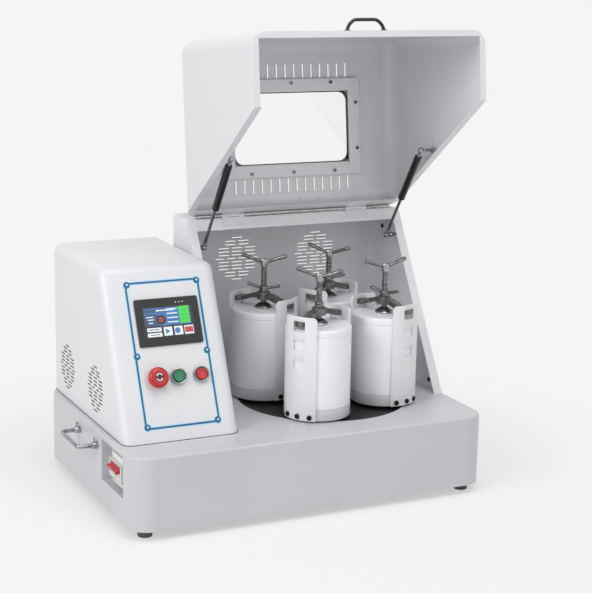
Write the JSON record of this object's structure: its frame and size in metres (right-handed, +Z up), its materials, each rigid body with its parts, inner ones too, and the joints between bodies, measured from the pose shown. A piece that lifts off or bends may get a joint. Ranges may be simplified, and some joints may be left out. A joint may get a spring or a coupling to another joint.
{
  "type": "planetary ball mill",
  "caption": "Bench planetary ball mill: cabinet with control box, hinged see-through hood and a turntable of clamped grinding jars that spin against its turning.",
  "frame": {"origin": "middle of the footprint, on the surface that the feet stand on", "axes": "+X to the operator's right, +Y to the back, +Z up; the hood is open at rest"},
  "size_m": [0.836, 0.531, 0.9407],
  "materials": {
    "enamel": "semi-gloss off-white enamel on sheet steel",
    "rubber_feet": "moulded rubber",
    "chrome": "polished chrome plate",
    "light_plastic": "moulded grey plastic",
    "red_plastic": "moulded red plastic",
    "black_plastic": "moulded black plastic",
    "cast_metal": "grey painted casting",
    "gear_steel": "machined steel",
    "belt_rubber": "reinforced rubber belt",
    "clear_pane": "clear pane",
    "black_metal": "black satin coat",
    "green_plastic": "moulded green plastic",
    "jar_plastic": "white engineering plastic"
  },
  "bodies": {
    "cabinet": {"base_shell": "enamel", "bottom_plate": "enamel", "feet": "rubber_feet", "side_handles": "chrome", "breaker_body": "light_plastic", "cable_gland": "black_plastic", "drive_plate": "cast_metal", "bearing_housing": "cast_metal", "sun_gear": "gear_steel", "drive_belt": "belt_rubber", "motor": "cast_metal", "inverter": "black_plastic", "control_box_shell": "enamel", "touch_panel": "black_plastic", "button_collars": "chrome", "rear_housing": "enamel", "hinge_leaves_housing": "enamel", "strut_studs": "gear_steel"},
    "hood": {"lid_shell": "enamel", "window_pane": "clear_pane", "window_frame": "enamel", "lid_handle": "black_metal", "hinge_leaves_lid": "enamel"},
    "strut_cylinder_pair": {"strut_cylinders": "black_metal"},
    "strut_rod_pair": {"strut_rods": "gear_steel"},
    "turntable_assembly": {"turntable": "black_metal", "main_spindle": "gear_steel"},
    "motor_rotor": {"motor_pulley": "cast_metal"},
    "estop": {"estop_button": "red_plastic"},
    "start": {"start_button": "green_plastic"},
    "stop": {"stop_button": "red_plastic"},
    "breaker_lever": {"breaker_toggle": "red_plastic"},
    "station_1": {"jar_holder_1": "enamel", "crossbar_1": "gear_steel", "jar_1": "jar_plastic", "jar_lid_1": "jar_plastic"},
    "presser_1": {"presser_foot_1": "gear_steel"},
    "screw_1": {"clamp_screw_1": "gear_steel"},
    "nut_1": {"lock_nut_1": "gear_steel"},
    "station_2": {"jar_holder_2": "enamel", "crossbar_2": "gear_steel", "jar_2": "jar_plastic", "jar_lid_2": "jar_plastic"},
    "presser_2": {"presser_foot_2": "gear_steel"},
    "screw_2": {"clamp_screw_2": "gear_steel"},
    "nut_2": {"lock_nut_2": "gear_steel"},
    "station_3": {"jar_holder_3": "enamel", "crossbar_3": "gear_steel", "jar_3": "jar_plastic", "jar_lid_3": "jar_plastic"},
    "presser_3": {"presser_foot_3": "gear_steel"},
    "screw_3": {"clamp_screw_3": "gear_steel"},
    "nut_3": {"lock_nut_3": "gear_steel"},
    "station_4": {"jar_holder_4": "enamel", "crossbar_4": "gear_steel", "jar_4": "jar_plastic", "jar_lid_4": "jar_plastic"},
    "presser_4": {"presser_foot_4": "gear_steel"},
    "screw_4": {"clamp_screw_4": "gear_steel"},
    "nut_4": {"lock_nut_4": "gear_steel"}
  },
  "joints": [
    {"name": "hood_hinge", "type": "hinge", "parent": "cabinet", "child": "hood", "pos_m": [0.1265, 0.1295, 0.525], "axis": [1, 0, 0], "range_deg": [0, 96.5]},
    {"name": "strut_swing", "type": "hinge", "parent": "hood", "child": "strut_cylinder_pair", "pos_m": [0.1265, -0.02068, 0.6644], "axis": [1, 0, 0], "range_deg": [0, 3.87]},
    {"name": "strut_slide", "type": "slide", "parent": "strut_cylinder_pair", "child": "strut_rod_pair", "axis": [0, 0.5618, -0.8273], "range_m": [-0.0925, 0]},
    {"name": "turntable_spin", "type": "hinge", "parent": "cabinet", "child": "turntable_assembly", "pos_m": [0.1265, -0.014, 0.15], "axis": [0, 0, 1], "continuous": true},
    {"name": "motor_spin", "type": "hinge", "parent": "cabinet", "child": "motor_rotor", "pos_m": [-0.245, 0.09, 0.08], "axis": [0, 0, 1], "continuous": true},
    {"name": "estop_press", "type": "slide", "parent": "cabinet", "child": "estop", "axis": [0, 0.9098, -0.415], "range_m": [0, 0.004]},
    {"name": "start_press", "type": "slide", "parent": "cabinet", "child": "start", "axis": [0, 0.9098, -0.415], "range_m": [0, 0.003], "stiffness_N_per_m": 400, "springref_m": -0.002},
    {"name": "stop_press", "type": "slide", "parent": "cabinet", "child": "stop", "axis": [0, 0.9098, -0.415], "range_m": [0, 0.003], "stiffness_N_per_m": 400, "springref_m": -0.002},
    {"name": "breaker_flip", "type": "hinge", "parent": "cabinet", "child": "breaker_lever", "pos_m": [-0.368, -0.153, 0.115], "axis": [0, 1, 0], "range_deg": [0, 40]},
    {"name": "station_1_spin", "type": "hinge", "parent": "turntable_assembly", "child": "station_1", "pos_m": [0.23257, -0.07774, 0.15], "axis": [0, 0, 1], "continuous": true},
    {"name": "presser_1_lift", "type": "slide", "parent": "station_1", "child": "presser_1", "axis": [0, 0, 1], "range_m": [0, 0.008]},
    {"name": "clamp_screw_1_turn", "type": "hinge", "parent": "presser_1", "child": "screw_1", "pos_m": [0.23257, -0.07774, 0.42], "axis": [0, 0, 1], "range_deg": [0, 1650]},
    {"name": "lock_nut_1_turn", "type": "hinge", "parent": "station_1", "child": "nut_1", "pos_m": [0.23257, -0.07774, 0.384], "axis": [0, 0, 1], "range_deg": [0, 90]},
    {"name": "station_2_spin", "type": "hinge", "parent": "turntable_assembly", "child": "station_2", "pos_m": [0.19024, 0.09207, 0.15], "axis": [0, 0, 1], "continuous": true},
    {"name": "presser_2_lift", "type": "slide", "parent": "station_2", "child": "presser_2", "axis": [0, 0, 1], "range_m": [0, 0.008]},
    {"name": "clamp_screw_2_turn", "type": "hinge", "parent": "presser_2", "child": "screw_2", "pos_m": [0.19024, 0.09207, 0.42], "axis": [0, 0, 1], "range_deg": [0, 1650]},
    {"name": "lock_nut_2_turn", "type": "hinge", "parent": "station_2", "child": "nut_2", "pos_m": [0.19024, 0.09207, 0.384], "axis": [0, 0, 1], "range_deg": [0, 90]},
    {"name": "station_3_spin", "type": "hinge", "parent": "turntable_assembly", "child": "station_3", "pos_m": [0.02043, 0.04974, 0.15], "axis": [0, 0, 1], "continuous": true},
    {"name": "presser_3_lift", "type": "slide", "parent": "station_3", "child": "presser_3", "axis": [0, 0, 1], "range_m": [0, 0.008]},
    {"name": "clamp_screw_3_turn", "type": "hinge", "parent": "presser_3", "child": "screw_3", "pos_m": [0.02043, 0.04974, 0.42], "axis": [0, 0, 1], "range_deg": [0, 1650]},
    {"name": "lock_nut_3_turn", "type": "hinge", "parent": "station_3", "child": "nut_3", "pos_m": [0.02043, 0.04974, 0.384], "axis": [0, 0, 1], "range_deg": [0, 90]},
    {"name": "station_4_spin", "type": "hinge", "parent": "turntable_assembly", "child": "station_4", "pos_m": [0.06276, -0.12007, 0.15], "axis": [0, 0, 1], "continuous": true},
    {"name": "presser_4_lift", "type": "slide", "parent": "station_4", "child": "presser_4", "axis": [0, 0, 1], "range_m": [0, 0.008]},
    {"name": "clamp_screw_4_turn", "type": "hinge", "parent": "presser_4", "child": "screw_4", "pos_m": [0.06276, -0.12007, 0.42], "axis": [0, 0, 1], "range_deg": [0, 1650]},
    {"name": "lock_nut_4_turn", "type": "hinge", "parent": "station_4", "child": "nut_4", "pos_m": [0.06276, -0.12007, 0.384], "axis": [0, 0, 1], "range_deg": [0, 90]}
  ],
  "couplings": [
    {"joint": "strut_swing", "follows": "hood_hinge", "ratio": 0.038023},
    {"joint": "strut_slide", "follows": "hood_hinge", "m_per_rad": -0.054554},
    {"joint": "motor_spin", "follows": "turntable_spin", "ratio": 2.5556},
    {"joint": "station_1_spin", "follows": "turntable_spin", "ratio": 2},
    {"joint": "clamp_screw_1_turn", "follows": "presser_1_lift", "rad_per_m": 3590.4},
    {"joint": "station_2_spin", "follows": "turntable_spin", "ratio": 2},
    {"joint": "clamp_screw_2_turn", "follows": "presser_2_lift", "rad_per_m": 3590.4},
    {"joint": "station_3_spin", "follows": "turntable_spin", "ratio": 2},
    {"joint": "clamp_screw_3_turn", "follows": "presser_3_lift", "rad_per_m": 3590.4},
    {"joint": "station_4_spin", "follows": "turntable_spin", "ratio": 2},
    {"joint": "clamp_screw_4_turn", "follows": "presser_4_lift", "rad_per_m": 3590.4}
  ]
}
